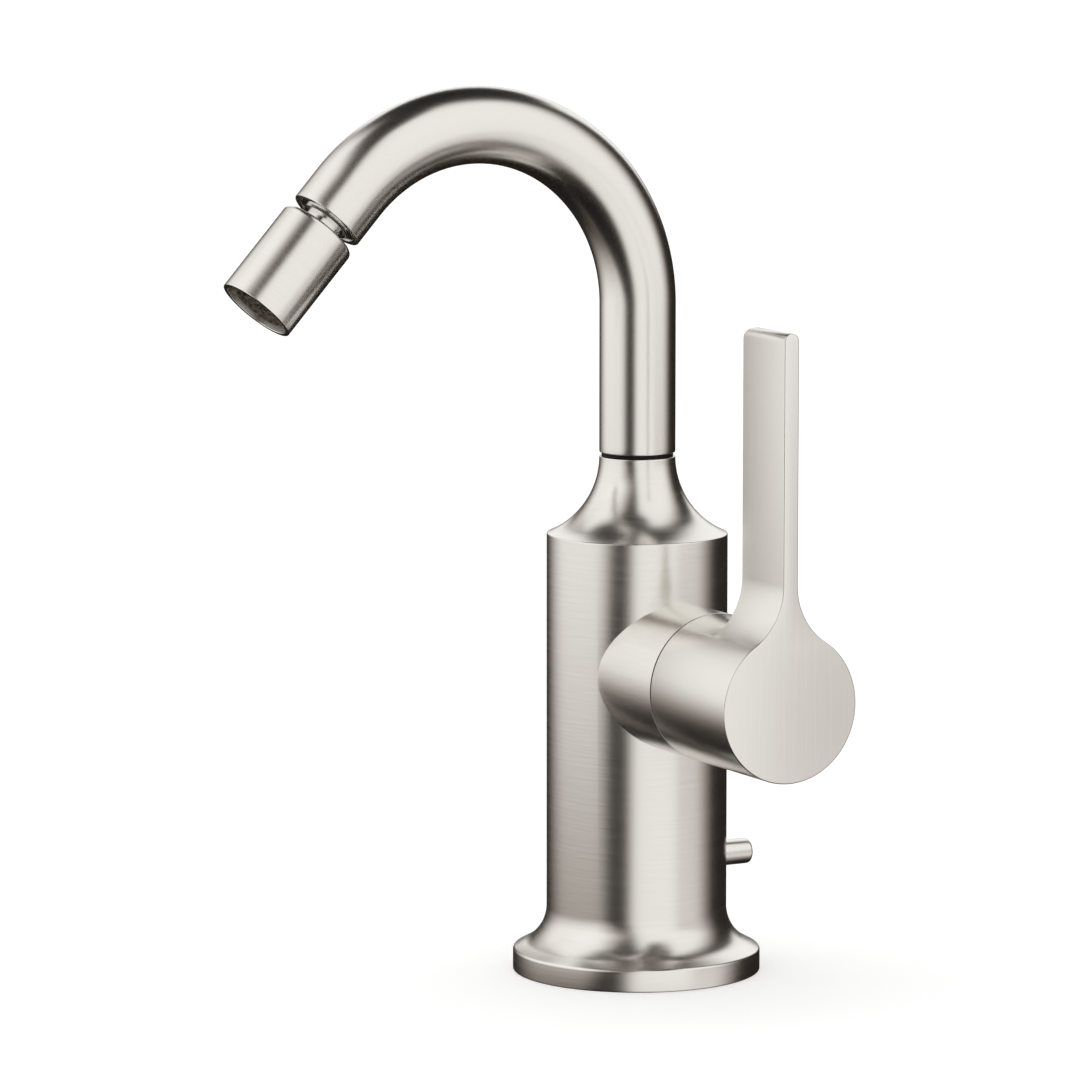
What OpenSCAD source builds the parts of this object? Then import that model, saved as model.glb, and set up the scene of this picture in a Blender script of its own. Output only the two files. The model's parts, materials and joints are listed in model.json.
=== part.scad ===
// Bidet mixer: side lever, swivel spout, ball-jointed outlet and a lift knob for the waste.
// Millimetres. Z is up from the deck, the spout points to -Y and the lever barrel to +X.

/* [Column] */
// Diameter of the column
column_d = 40; // [37:0.5:44]
// Diameter of the foot flange
flange_d = 55; // [51:0.5:64]
// Height of the flange rim
flange_rim_h = 4.8; // [4:0.2:8]
// Radius of the fillet between flange and column
flange_fillet_r = 9.5; // [4:0.5:11]
// Slope of the flange top, in degrees
flange_slope = 28; // [15:1:35]
// Rounding of the flange rim
flange_edge_r = 0.8; // [0.3:0.1:1.2]
// Height from the deck to the top of the neck
body_h = 115; // [110:0.5:130]
// Radius of the concave sweep of the neck
neck_sweep_r = 18.5; // [16:0.5:26]
// Width of the gasket under the flange
gasket_w = 3.5; // [2.5:0.5:5]
// Thickness of the gasket under the flange
gasket_t = 2; // [1:0.5:3]

/* [Barrel] */
// Diameter of the barrel and of the lever hub
barrel_d = 32.5; // [32:0.1:36]
// Height of the barrel axis above the deck
barrel_z = 68.2; // [64:0.2:74]
// Distance from the column axis to the split plane
stub_reach = 35; // [33:0.2:42]
// Width of the split between barrel and hub
split_gap = 0.5; // [0.2:0.05:0.6]

/* [Lever] */
// Length of the hub
hub_len = 31.6; // [28:0.1:38]
// Depth of the recess in the back of the hub
hub_recess = 6; // [3:0.5:9]
// Length from the barrel axis to the lever tip
lever_len = 80; // [60:0.5:110]
// Thickness of the lever blade
blade_t = 3.6; // [3:0.1:6]
// Depth of the lever blade along the barrel
blade_depth = 17.7; // [12:0.1:24]
// Radius of the fillets between blade and hub
blade_fillet_r = 15; // [8:0.5:22]
// Rounding of the back corner of the blade tip
blade_corner_r = 2.8; // [1:0.2:5]
// Turn of the lever from closed to fully hot, in degrees
lever_turn = 90; // [60:5:110]

/* [Cartridge] */
// Diameter of the cartridge
cartridge_d = 25; // [23:0.5:26]
// Thickness of the moulded seal under the cartridge
base_seal_t = 1.2; // [0.8:0.1:1.6]
// Thickness of the cartridge base
base_t = 4; // [3.5:0.1:5]
// Thickness of the fixed ceramic disc
fixed_disc_t = 3; // [2.5:0.1:4]
// Thickness of the moving ceramic disc
moving_disc_t = 3.5; // [3:0.1:4]
// Thickness of the drive plate of the spindle
drive_t = 3.5; // [3:0.1:4]
// Thickness of the cartridge roof over the drive plate
roof_t = 1.8; // [1.2:0.1:2.5]
// Thickness of the cartridge flange under the nut
housing_flange_t = 2.5; // [2:0.1:3]
// Length of the cartridge neck that guides the spindle
housing_neck_len = 6; // [5:0.1:7]
// Length of the cartridge nut
nut_len = 7.5; // [6:0.5:9]
// Height of the nut's thread over the cartridge
nut_step = 1.4; // [1:0.1:2]
// How far the nut lies behind the split plane
nut_recess = 3.2; // [2:0.1:5]
// Diameter of the spindle
spindle_d = 10; // [9:0.2:11]
// Width of the spindle's square
square_w = 7; // [5.5:0.1:7]
// Length of the square in the hub
socket_len = 11; // [9:0.5:14]
// Diameter of the hub's grub screw
grub_d = 5; // [4:1:6]

/* [Waterways] */
// Radius of the circle of inlet ports in the cartridge
port_pitch_r = 7; // [6.5:0.1:7.4]
// Diameter of the inlet ports in the cartridge
port_d = 4.8; // [4:0.1:5]
// Diameter of the outlet port in the cartridge
outlet_port_d = 6.4; // [5:0.1:6.6]
// Diameter of the drilled ways in the column
way_d = 7; // [6:0.2:7.4]
// Wall between the cartridge floor and the mixed way
floor_wall = 1.5; // [1:0.1:2]

/* [Spout] */
// Diameter of the spout tube
tube_d = 16.8; // [16:0.2:19]
// Wall of the spout tube
tube_wall = 1.5; // [1:0.1:2]
// Length of the straight rise of the spout
riser_len = 32.8; // [20:0.2:60]
// Radius of the spout bend
bend_r = 40.6; // [30:0.2:60]
// Angle of the spout bend, in degrees
bend_angle = 137.8; // [110:0.2:150]
// Length of the straight tail after the bend
tail_len = 8; // [7.6:0.1:30]
// Thickness of the glide ring under the spout
glide_ring_t = 0.9; // [0.6:0.1:2]
// How far the glide ring lies inside the tube's outline
glide_ring_inset = 0.5; // [0.3:0.1:0.8]
// Diameter of the spout shank in the neck
shank_d = 13; // [12:0.2:13.4]
// Depth of the spout shank in the neck
shank_depth = 19; // [18:0.5:24]
// Length of the shank inside the tube
shank_grip = 12; // [8:0.5:18]
// Bore of the spout shank
shank_bore_d = 8; // [6:0.2:8.4]
// Swivel of the spout to each side, in degrees
swivel_limit = 60; // [30:5:75]
// Diameter of the spout's stop screw
stop_screw_d = 4; // [3:0.5:5]
// Depth of the stop screw's axis below the top of the neck
stop_screw_drop = 6; // [5:0.5:8]

/* [Outlet] */
// Diameter of the outlet sleeve
sleeve_d = 17.4; // [17.2:0.1:20]
// Length of the outlet sleeve
sleeve_len = 22.4; // [21:0.1:32]
// Wall of the outlet sleeve
sleeve_wall = 1; // [0.8:0.05:1.2]
// Rounding of the sleeve's upper rim
sleeve_rim_r = 1.1; // [0.6:0.1:2]
// Gap between the tube end and the sleeve
outlet_gap = 2.6; // [2.4:0.05:5]
// Depth of the ball centre inside the sleeve
ball_depth = 7.35; // [7:0.05:9]
// Diameter of the neck that carries the ball
ball_neck_d = 8.8; // [7.6:0.1:9]
// Wall of the plastic ball seats
seat_wall = 1.1; // [0.9:0.05:1.3]
// Tilt of each axis of the ball joint, in degrees
outlet_tilt = 10; // [5:1:10]
// How far the aerator lies inside the sleeve
aerator_inset = 0.7; // [0.6:0.1:2]
// Pitch of the openings in the aerator screens
screen_pitch = 1.6; // [1.2:0.1:2.4]

/* [Lift knob] */
// Diameter of the lift knob
knob_d = 5.7; // [5:0.1:7]
// Height of the lift knob's axis at rest
knob_z = 24; // [20:0.5:28]
// How far the lift knob stands out of the column
knob_proud = 8.5; // [6:0.5:20]
// Rounding of the lift knob's tip
knob_edge_r = 0.8; // [0.3:0.1:1.5]
// Travel of the lift knob
lift_travel = 16; // [8:1:18]
// Diameter of the lift rod
rod_d = 5; // [4.5:0.1:6]
// Distance of the lift rod behind the column axis
rod_y = 12; // [11:0.2:13]
// Length of the guide bush of the lift rod
guide_len = 10; // [6:0.5:14]
// Wall of the guide bush of the lift rod
guide_wall = 1.9; // [1.2:0.1:2.1]

/* [Fixings] */
// Tapping bore for the M8 fixing stud
stud_bore_d = 6.8; // [6:0.1:8]
// Depth of the fixing stud's hole
stud_depth = 20; // [14:1:26]
// Tapping bore for the M10 x 1 hoses
hose_bore_d = 9; // [8:0.1:9.4]
// Depth of the hose threads
hose_depth = 12; // [9:0.5:16]
// Distance of the hose ports in front of the column axis, away from the barrel
hose_x = 9; // [8.8:0.1:10]
// Half the distance between the hose ports
hose_y = 6; // [5.8:0.1:6.4]
// Tapping bore in the lower end of the lift rod
link_bore_d = 2.5; // [2:0.1:2.8]
// Depth of the hole in the lower end of the lift rod
link_depth = 10; // [6:0.5:12]

/* [Clearances] */
// Radial clearance of parts that turn or slide in a bore
running = 0.05; // [0.02:0.01:0.09]
// Radial clearance of parts that are fixed in a seat
seated = 0.05; // [0.02:0.01:0.09]
// Clearance of moving parts that don't guide each other
moving = 0.3; // [0.2:0.05:0.5]
// Clearance between the spheres of the ball joint
ball_play = 0.1; // [0.05:0.01:0.15]

/* [Hidden] */
$fn = 96;
over = 1;

nickel = [0.80, 0.78, 0.75];
brass = [0.78, 0.64, 0.36];
steel = [0.62, 0.63, 0.64];
rubber = [0.10, 0.10, 0.10];
black_plastic = [0.14, 0.14, 0.15];
white_plastic = [0.90, 0.90, 0.87];
ceramic = [0.95, 0.94, 0.90];

column_r = column_d / 2;
flange_r = flange_d / 2;
barrel_r = barrel_d / 2;
tube_r = tube_d / 2;
tube_bore_r = tube_r - tube_wall;

// Gasket groove, set in from the flange rim
gasket_inset = 2.5;
gasket_r = flange_r - gasket_inset;

// Stations along the barrel axis, counted from the split plane back to the pocket floor
nut_front_x = stub_reach - nut_recess;
nut_x = nut_front_x - nut_len;
step_x = nut_x - housing_flange_t;
roof_x = step_x - roof_t;
drive_x = roof_x - drive_t;
moving_x = drive_x - moving_disc_t;
fixed_x = moving_x - fixed_disc_t;
base_x = fixed_x - base_t;
floor_x = base_x - base_seal_t;
neck_end_x = nut_x + housing_neck_len;
hub_x = stub_reach + split_gap;
hub_front_x = hub_x + hub_len;
socket_x = hub_x + hub_recess;

// Cartridge radii
cartridge_r = cartridge_d / 2;
pocket_r = cartridge_r + seated;
nut_r = pocket_r + nut_step;
spindle_r = spindle_d / 2;
housing_wall = 2.4;
drive_chamber_r = cartridge_r - housing_wall;
drive_r = drive_chamber_r - moving;
housing_neck_wall = 4;
housing_neck_r = spindle_r + housing_neck_wall;
shaft_ring_r = 0.9;
shaft_ring_x = nut_x + housing_neck_len / 2;

// Ports: the inlets lie side by side below the outlet in the middle
port_angle = 30;
port_half_angle = asin(port_d / 2 / port_pitch_r);
channel_margin_angle = 1;
channel_rest_angle = -(port_angle + 2 * port_half_angle + channel_margin_angle);
channel_depth = 1.8;
lug_w = 3;
lug_h = 1.4;
lug_pitch_r = 6.5;
peg_r = 0.9;
peg_len = 2;
peg_angle = 35;
peg_inset = 1.3;
peg_pitch_r = cartridge_r - peg_inset;

// Room around the moulded seal and its ports
seal_play = 0.2;
seal_port_grow = 0.15;

// Slots for the key of the cartridge nut
nut_slot_w = 3;
nut_slot_depth = 2;

// Grub screws: socket against the screw's radius, and the hub screw against the hub's radius
hex_ratio = 0.58;
hex_depth_ratio = 0.9;
grub_len_ratio = 0.55;

// Stop rib of the cartridge and its sector in the drive plate
rib_angle = 16;
rib_h = 2;
rib_r = drive_chamber_r - rib_h;
stop_play_angle = 0.6;

// Stations up the neck
neck_z = body_h;
tube_z = neck_z + glide_ring_t;
shank_z = tube_z - shank_depth;
shank_r = shank_d / 2;
neck_bore_r = shank_r + running;
neck_floor_z = shank_z - moving;
stop_z = neck_z - stop_screw_drop;
dog_step = 0.7;
dog_r = stop_screw_d / 2 - dog_step;
stop_groove_depth = 1.3;
stop_groove_r = shank_r - stop_groove_depth;
dog_tip_r = stop_groove_r + moving;
dog_half_angle = asin((dog_r + running) / dog_tip_r);
stop_sector = 2 * (swivel_limit + dog_half_angle);
stop_screw_sink = 0.4;
ring_groove_depth = 1.5;
ring_groove_r = shank_r - ring_groove_depth;
ring_groove_w = 2.4;
shank_ring_r = ring_groove_depth / 2;
shank_ring_drops = [2.6, 6.2];

// Spout path and its end
tail_lap = 0.4;
tail_step = 0.02;
bend_z = tube_z + riser_len;
tube_end = [
    0,
    bend_r * (cos(bend_angle) - 1) - tail_len * sin(bend_angle),
    bend_z + bend_r * sin(bend_angle) + tail_len * cos(bend_angle)
];

// Ball joint: spheres one inside the other, from the sleeve inwards
sleeve_r = sleeve_d / 2;
sleeve_bore_r = sleeve_r - sleeve_wall;
socket_step = 0.2;
socket_r = sleeve_bore_r - socket_step;
seat_out_r = socket_r - ball_play;
seat_in_r = seat_out_r - seat_wall;
ball_r = seat_in_r - ball_play;
ball_neck_r = ball_neck_d / 2;
ball_neck_wall = 1.6;
ball_bore_r = ball_neck_r - ball_neck_wall;
ball_s = outlet_gap + ball_depth;
both_tilts = acos(cos(outlet_tilt) * cos(outlet_tilt));
mouth_r = ball_neck_r / cos(both_tilts) + ball_depth * tan(both_tilts) + moving;

// Height of a ball seat at which its rim still clears the tilted ball neck
rim_base = ball_neck_r / cos(outlet_tilt) + moving;
rim_rise = tan(outlet_tilt);
rim_square = 1 + rim_rise * rim_rise;
rim_root = sqrt(rim_square * seat_in_r * seat_in_r - rim_base * rim_base);
seat_h = (rim_root - rim_base * rim_rise) / rim_square;
seat_split = 0.1;

// Nipple in the tube end
nipple_recess = 0.3;
nipple_grip = 6;
nipple_r = tube_bore_r - seated;
collar_step = 1.2;
collar_r = ball_neck_r + collar_step;
collar_s = 0.5;
nipple_ring_r = 0.8;
nipple_ring_s = -nipple_recess - nipple_grip / 2;

// Aerator stack below the ball
retainer_lead = 2;
retainer_cover = 0.4;
retainer_lip = 1;
retainer_end_s = ball_s + ball_r + retainer_cover;
retainer_bore_r = ball_r - retainer_lip;
washer_t = 1.2;
diffuser_t = 1.2;
washer_s = retainer_end_s;
diffuser_s = washer_s + washer_t;
cage_s = diffuser_s + diffuser_t;
cage_end_s = outlet_gap + sleeve_len - aerator_inset;
cage_r = sleeve_bore_r - seated;
cage_wall = 1.2;
cage_bore_r = cage_r - cage_wall;
ledge_w = 0.7;
ledge_h = 0.8;
screen_t = 0.5;
screen_gap = 0.45;
screen_r = cage_bore_r - seated;
jet_r = 0.6;
jet_count = 12;

// Lift rod and knob
knob_r = knob_d / 2;
rod_r = rod_d / 2;
rod_low_z = 1;
rod_head = 6;
rod_top_z = knob_z + rod_head;
rod_bore_top_z = rod_top_z + lift_travel + moving;
spigot_r = knob_r / 2;
guide_r = rod_r + running + guide_wall;
knob_tip_y = column_r + knob_proud;

// Shared shapes

// Turns local Z to the barrel axis, with local X pointing down
module on_barrel(x) {
    translate([x, 0, barrel_z]) rotate([0, 90, 0]) children();
}

// Lays a flat outline across the barrel: local X to the back, local Y up
module across_barrel(x) {
    translate([x, 0, barrel_z]) rotate([90, 0, 90]) children();
}

// Turns local Z along the spout's tail, counted from the tube end
module at_outlet(s) {
    translate(tube_end) rotate([bend_angle, 0, 0]) translate([0, 0, s]) children();
}

// A round wall, open at both ends
module ring(outer_r, inner_r, h) {
    difference() {
        cylinder(r = outer_r, h = h);
        translate([0, 0, -over]) cylinder(r = inner_r, h = h + 2 * over);
    }
}

// An O-ring, and the groove it sits in
module o_ring(outer_r, section_r) {
    rotate_extrude() translate([outer_r - section_r, 0]) circle(section_r);
}

module ring_groove(outer_r, floor_r, w) {
    translate([0, 0, -w / 2]) ring(outer_r + over, floor_r, w);
}

// A sector of a ring about local Z
module sector(inner_r, outer_r, h, start_angle, angle) {
    rotate([0, 0, start_angle]) rotate_extrude(angle = angle)
        translate([inner_r, 0]) square([outer_r - inner_r, h]);
}

// Grub screw along local Z with its socket at the outer end
module grub_screw(r, len) {
    hex_r = r * hex_ratio;
    hex_depth = r * hex_depth_ratio;
    difference() {
        cylinder(r = r, h = len);
        translate([0, 0, len - hex_depth]) cylinder(r = hex_r, h = hex_depth + over, $fn = 6);
    }
}

// Outline of the flange: sloping top between a rounded rim and a fillet to the column
module flange_outline() {
    fillet_z = flange_rim_h + (flange_fillet_r
        - (column_r + flange_fillet_r - flange_r) * sin(flange_slope)) / cos(flange_slope);
    fillet = [column_r + flange_fillet_r, fillet_z];
    edge_z = flange_rim_h - flange_edge_r * (1 - sin(flange_slope)) / cos(flange_slope);
    edge = [flange_r - flange_edge_r, edge_z];
    normal = [sin(flange_slope), cos(flange_slope)];
    difference() {
        polygon([
            [0, 0], [flange_r, 0], [flange_r, edge_z], edge,
            edge + flange_edge_r * normal, fillet - flange_fillet_r * normal,
            fillet, [column_r, fillet_z], [0, fillet_z]
        ]);
        translate(fillet) circle(flange_fillet_r);
    }
    translate(edge) circle(flange_edge_r);
}

// Outline of the column, drawn in to the neck by a concave sweep
module column_outline() {
    difference() {
        square([column_r, neck_z]);
        translate([tube_r + neck_sweep_r, neck_z]) circle(neck_sweep_r);
    }
}

// Radius of the neck at a height
function neck_r_at(z) = tube_r + neck_sweep_r - sqrt(pow(neck_sweep_r, 2) - pow(neck_z - z, 2));

// A rod along the spout: rise, bend, and a tail that laps over the end of the bend
module spout_rod(r, run_out = 0) {
    translate([0, 0, tube_z - run_out]) cylinder(r = r, h = riser_len + run_out);
    translate([0, -bend_r, bend_z]) rotate([90, 0, 90])
        rotate_extrude(angle = bend_angle) translate([bend_r, 0]) circle(r);
    at_outlet(-tail_len - tail_lap) cylinder(r = r + tail_step, h = tail_len + tail_lap + run_out);
}

// Places the two inlet ports in the cartridge
module at_inlet_ports() {
    for (side = [-1, 1]) rotate([0, 0, side * port_angle]) translate([port_pitch_r, 0, 0]) children();
}

// The three ports of the cartridge
module ports(h, grow = 0) {
    translate([0, 0, -over]) cylinder(d = outlet_port_d + 2 * grow, h = h + 2 * over);
    at_inlet_ports() translate([0, 0, -over]) cylinder(d = port_d + 2 * grow, h = h + 2 * over);
}

// Places the two pegs of the cartridge base
module at_pegs() {
    for (side = [-1, 1]) rotate([0, 0, 180 + side * peg_angle]) translate([peg_pitch_r, 0, 0]) children();
}

// Body pieces

// Ways for hot, cold and mixed water
module waterways() {
    mixed_x = min(0, floor_x - floor_wall - way_d / 2);
    mixed_z = barrel_z - outlet_port_d / 4;
    inlet_top_z = barrel_z - port_pitch_r * cos(port_angle) + port_d / 4;
    on_barrel(mixed_x) cylinder(d = outlet_port_d, h = floor_x - mixed_x + over);
    translate([mixed_x, 0, mixed_z]) cylinder(d = way_d, h = neck_floor_z - mixed_z + over);
    on_barrel(-hose_x) at_inlet_ports() cylinder(d = port_d, h = floor_x + hose_x + over);
    for (side = [-1, 1]) translate([-hose_x, side * hose_y, 0]) {
        cylinder(d = way_d, h = inlet_top_z);
        translate([0, 0, -over]) cylinder(d = hose_bore_d, h = hose_depth + over);
    }
}

// Slot for the lift knob, round at both ends
module knob_slot() {
    slot_r = knob_r + moving;
    slot_len = column_r - rod_y + over;
    translate([0, rod_y, knob_z]) rotate([-90, 0, 0]) linear_extrude(slot_len) {
        circle(slot_r);
        translate([0, -lift_travel]) circle(slot_r);
        translate([-slot_r, -lift_travel]) square([2 * slot_r, lift_travel]);
    }
}

module body_casting() color(nickel) difference() {
    union() {
        rotate_extrude() {
            flange_outline();
            column_outline();
        }
        on_barrel(0) cylinder(r = barrel_r, h = stub_reach);
    }
    on_barrel(floor_x) cylinder(r = pocket_r, h = stub_reach - floor_x + over);
    on_barrel(step_x) cylinder(r = nut_r, h = stub_reach - step_x + over);
    on_barrel(floor_x - peg_len) at_pegs() cylinder(r = peg_r + seated, h = peg_len + over);
    waterways();
    translate([0, 0, neck_floor_z]) cylinder(r = neck_bore_r, h = neck_z - neck_floor_z + over);
    translate([0, shank_r - over, stop_z]) rotate([-90, 0, 0])
        cylinder(d = stop_screw_d, h = column_r);
    translate([0, 0, -over]) cylinder(d = stud_bore_d, h = stud_depth + over);
    translate([0, 0, -over]) ring(gasket_r, gasket_r - gasket_w, gasket_t + over);
    translate([0, rod_y, -over]) cylinder(r = rod_r + running, h = rod_bore_top_z + over);
    translate([0, rod_y, -over]) cylinder(r = guide_r, h = guide_len + over);
    knob_slot();
}

module base_gasket() color(rubber) {
    ring(gasket_r - seated, gasket_r - gasket_w + seated, gasket_t);
}

module spout_glide_ring() color(black_plastic) {
    translate([0, 0, neck_z]) ring(tube_r - glide_ring_inset, shank_r + moving, glide_ring_t);
}

// Grub screw in the back of the neck: its dog point runs in the shank's groove
module spout_stop_screw() color(steel) {
    thread_y = shank_r + 2 * running;
    head_y = neck_r_at(stop_z) - stop_screw_sink;
    translate([0, thread_y, stop_z]) rotate([-90, 0, 0])
        grub_screw(stop_screw_d / 2 - seated, head_y - thread_y);
    translate([0, dog_tip_r, stop_z]) rotate([-90, 0, 0])
        cylinder(r = dog_r, h = thread_y - dog_tip_r + over / 2);
}

module lift_rod_guide() color(white_plastic) {
    translate([0, rod_y, 0]) ring(guide_r - seated, rod_r + running, guide_len);
}

// Cartridge pieces that stay in the body

module cartridge_base_seal() color(rubber) on_barrel(floor_x) difference() {
    cylinder(r = peg_pitch_r - peg_r - seal_play, h = base_seal_t);
    ports(base_seal_t, seal_port_grow);
}

module cartridge_base() color(white_plastic) on_barrel(base_x) {
    difference() {
        cylinder(r = cartridge_r, h = base_t);
        ports(base_t);
    }
    at_pegs() translate([0, 0, -base_seal_t - peg_len]) cylinder(r = peg_r, h = peg_len + base_seal_t);
}

module cartridge_fixed_disc() color(ceramic) on_barrel(fixed_x) difference() {
    cylinder(r = drive_chamber_r - seated, h = fixed_disc_t);
    ports(fixed_disc_t);
}

// Shell of the cartridge, with the rib that stops the drive plate
module cartridge_housing() color(white_plastic) {
    chamber_len = roof_x - fixed_x;
    difference() {
        union() {
            on_barrel(fixed_x) cylinder(r = cartridge_r, h = step_x - fixed_x);
            on_barrel(step_x) cylinder(r = nut_r - seated, h = housing_flange_t);
            on_barrel(nut_x) cylinder(r = housing_neck_r, h = housing_neck_len);
        }
        on_barrel(fixed_x - over) cylinder(r = drive_chamber_r, h = chamber_len + over);
        on_barrel(roof_x - over) cylinder(r = spindle_r + running, h = neck_end_x - roof_x + 2 * over);
    }
    on_barrel(drive_x)
        sector(rib_r, drive_chamber_r + over / 2, drive_t + over / 2, 180 - rib_angle / 2, rib_angle);
}

module cartridge_nut() color(brass) on_barrel(nut_x) difference() {
    ring(nut_r - seated, housing_neck_r + seated, nut_len);
    for (turn = [0, 90]) rotate([0, 0, turn])
        translate([-nut_r - over, -nut_slot_w / 2, nut_len - nut_slot_depth])
            cube([2 * nut_r + 2 * over, nut_slot_w, nut_slot_depth + over]);
}

// Lever pieces

// Outline of the blade across the barrel, with fillets down to the hub
module blade_outline() {
    centre_x = blade_t / 2 + blade_fillet_r;
    centre_y = sqrt(pow(barrel_r + blade_fillet_r, 2) - pow(centre_x, 2));
    translate([-blade_t / 2, 0]) square([blade_t, lever_len - blade_t / 2]);
    translate([0, lever_len - blade_t / 2]) circle(blade_t / 2);
    for (side = [0, 1]) mirror([side, 0]) difference() {
        polygon([[0, 0], [centre_x, centre_y], [0, centre_y]]);
        translate([centre_x, centre_y]) circle(blade_fillet_r);
    }
}

// Rounds the back corner of the blade tip
module blade_corner() {
    back_x = hub_front_x - blade_depth;
    corner_z = barrel_z + lever_len - blade_corner_r;
    translate([0, blade_t, 0]) rotate([90, 0, 0]) linear_extrude(2 * blade_t) difference() {
        translate([back_x - over, corner_z]) square(blade_corner_r + over);
        translate([back_x + blade_corner_r, corner_z]) circle(blade_corner_r);
    }
}

module lever_handle() color(nickel) difference() {
    union() {
        on_barrel(hub_x) cylinder(r = barrel_r, h = hub_len);
        across_barrel(hub_front_x - blade_depth) linear_extrude(blade_depth) blade_outline();
    }
    blade_corner();
    on_barrel(hub_x - over) cylinder(r = nut_r, h = hub_recess + over);
    on_barrel(socket_x - over) translate([-square_w / 2 - seated, -square_w / 2 - seated, 0])
        cube([square_w + 2 * seated, square_w + 2 * seated, socket_len + over]);
    translate([socket_x + socket_len / 2, 0, barrel_z - barrel_r - over])
        cylinder(d = grub_d, h = barrel_r + over);
}

// Grub screw under the hub, tight against the flat of the spindle
module handle_grub_screw() color(steel) {
    translate([socket_x + socket_len / 2, 0, barrel_z - square_w / 2]) rotate([180, 0, 0])
        grub_screw(grub_d / 2 - seated, barrel_r * grub_len_ratio);
}

module cartridge_spindle() color(brass) {
    stop_half = rib_angle / 2 + stop_play_angle;
    difference() {
        union() {
            on_barrel(drive_x) cylinder(r = drive_r, h = drive_t);
            on_barrel(roof_x) cylinder(r = spindle_r, h = neck_end_x - roof_x + over);
        }
        on_barrel(drive_x - over) sector(rib_r - moving, drive_r + over, drive_t + 2 * over,
            180 - lever_turn - stop_half, lever_turn + 2 * stop_half);
        on_barrel(shaft_ring_x)
            ring_groove(spindle_r, spindle_r - 2 * shaft_ring_r, 2 * shaft_ring_r + moving);
    }
    on_barrel(neck_end_x + over) translate([-square_w / 2, -square_w / 2, 0])
        cube([square_w, square_w, socket_x + socket_len - moving - neck_end_x - over]);
    on_barrel(drive_x - lug_h) for (side = [-1, 1])
        translate([-lug_w / 2, side * lug_pitch_r - lug_w / 2, 0]) cube([lug_w, lug_w, lug_h]);
}

module spindle_o_ring() color(rubber) {
    on_barrel(shaft_ring_x) o_ring(spindle_r, shaft_ring_r);
}

// Turning disc with the channel that joins an inlet to the outlet
module cartridge_moving_disc() color(ceramic) on_barrel(moving_x) difference() {
    cylinder(r = drive_r, h = moving_disc_t);
    translate([0, 0, -over]) linear_extrude(channel_depth + over) {
        circle(d = outlet_port_d);
        rotate(channel_rest_angle) translate([0, -port_d / 2]) square([port_pitch_r, port_d]);
        rotate(channel_rest_angle) translate([port_pitch_r, 0]) circle(d = port_d);
    }
    for (side = [-1, 1])
        translate([-lug_w / 2 - seated, side * lug_pitch_r - lug_w / 2 - seated, moving_disc_t - lug_h])
            cube([lug_w + 2 * seated, lug_w + 2 * seated, lug_h + over]);
}

// Spout pieces

module spout_tube() color(nickel) difference() {
    spout_rod(tube_r);
    spout_rod(tube_bore_r, over);
}

// Swivel shank: grips the tube above and turns in the neck below
module spout_shank() color(brass) difference() {
    union() {
        translate([0, 0, tube_z]) cylinder(r = tube_bore_r - seated, h = shank_grip);
        translate([0, 0, shank_z]) cylinder(r = shank_r, h = shank_depth + over);
    }
    translate([0, 0, shank_z - over]) cylinder(d = shank_bore_d, h = shank_depth + shank_grip + 2 * over);
    for (drop = shank_ring_drops) translate([0, 0, shank_z + drop])
        ring_groove(shank_r, ring_groove_r, ring_groove_w);
    translate([0, 0, stop_z - dog_r - moving])
        sector(stop_groove_r, shank_r + over, 2 * (dog_r + moving), 90 - stop_sector / 2, stop_sector);
}

module shank_o_rings() color(rubber) {
    for (drop = shank_ring_drops) translate([0, 0, shank_z + drop]) o_ring(shank_r, shank_ring_r);
}

// Nipple with the ball that carries the outlet
module outlet_ball_nipple() color(nickel) {
    shank_s = -nipple_recess - nipple_grip;
    difference() {
        union() {
            at_outlet(shank_s) cylinder(r = nipple_r, h = nipple_grip);
            at_outlet(-nipple_recess - over) cylinder(r = collar_r, h = nipple_recess + collar_s + over);
            at_outlet(-nipple_recess) cylinder(r = ball_neck_r, h = ball_s + nipple_recess);
            at_outlet(ball_s) sphere(ball_r);
        }
        at_outlet(shank_s - over) cylinder(r = ball_bore_r, h = ball_s + ball_r - shank_s + 2 * over);
        at_outlet(nipple_ring_s)
            ring_groove(nipple_r, nipple_r - 2 * nipple_ring_r, 2 * nipple_ring_r + moving);
    }
}

module nipple_o_ring() color(rubber) {
    at_outlet(nipple_ring_s) o_ring(nipple_r, nipple_ring_r);
}

// Outlet pieces

// Half of the plastic seat around the ball, above or below its middle
module ball_seat(low, high) {
    at_outlet(ball_s) rotate_extrude() intersection() {
        difference() {
            circle(seat_out_r);
            circle(seat_in_r);
        }
        translate([0, low]) square([seat_out_r, high - low]);
    }
}

module ball_seat_upper() color(white_plastic) ball_seat(-seat_h, -seat_split / 2);

module ball_seat_lower() color(black_plastic) ball_seat(seat_split / 2, seat_h);

module aerator_sleeve() color(nickel) {
    at_outlet(outlet_gap) rotate_extrude() difference() {
        union() {
            translate([0, sleeve_rim_r]) square([sleeve_r, sleeve_len - sleeve_rim_r]);
            square([sleeve_r - sleeve_rim_r, sleeve_len]);
            translate([sleeve_r - sleeve_rim_r, sleeve_rim_r]) circle(sleeve_rim_r);
        }
        translate([0, -over]) square([mouth_r, ball_depth + over]);
        translate([0, ball_depth]) circle(socket_r);
        translate([0, ball_depth]) square([sleeve_bore_r, sleeve_len]);
    }
}

// Threaded ring that holds the ball seats up in the sleeve
module ball_seat_retainer() color(brass) {
    at_outlet(ball_s) rotate_extrude() difference() {
        translate([0, retainer_lead]) square([cage_r, retainer_end_s - ball_s - retainer_lead]);
        circle(socket_r);
        square([retainer_bore_r, retainer_end_s]);
    }
}

module aerator_washer() color(rubber) {
    at_outlet(washer_s) ring(cage_r, retainer_bore_r, washer_t);
}

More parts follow.
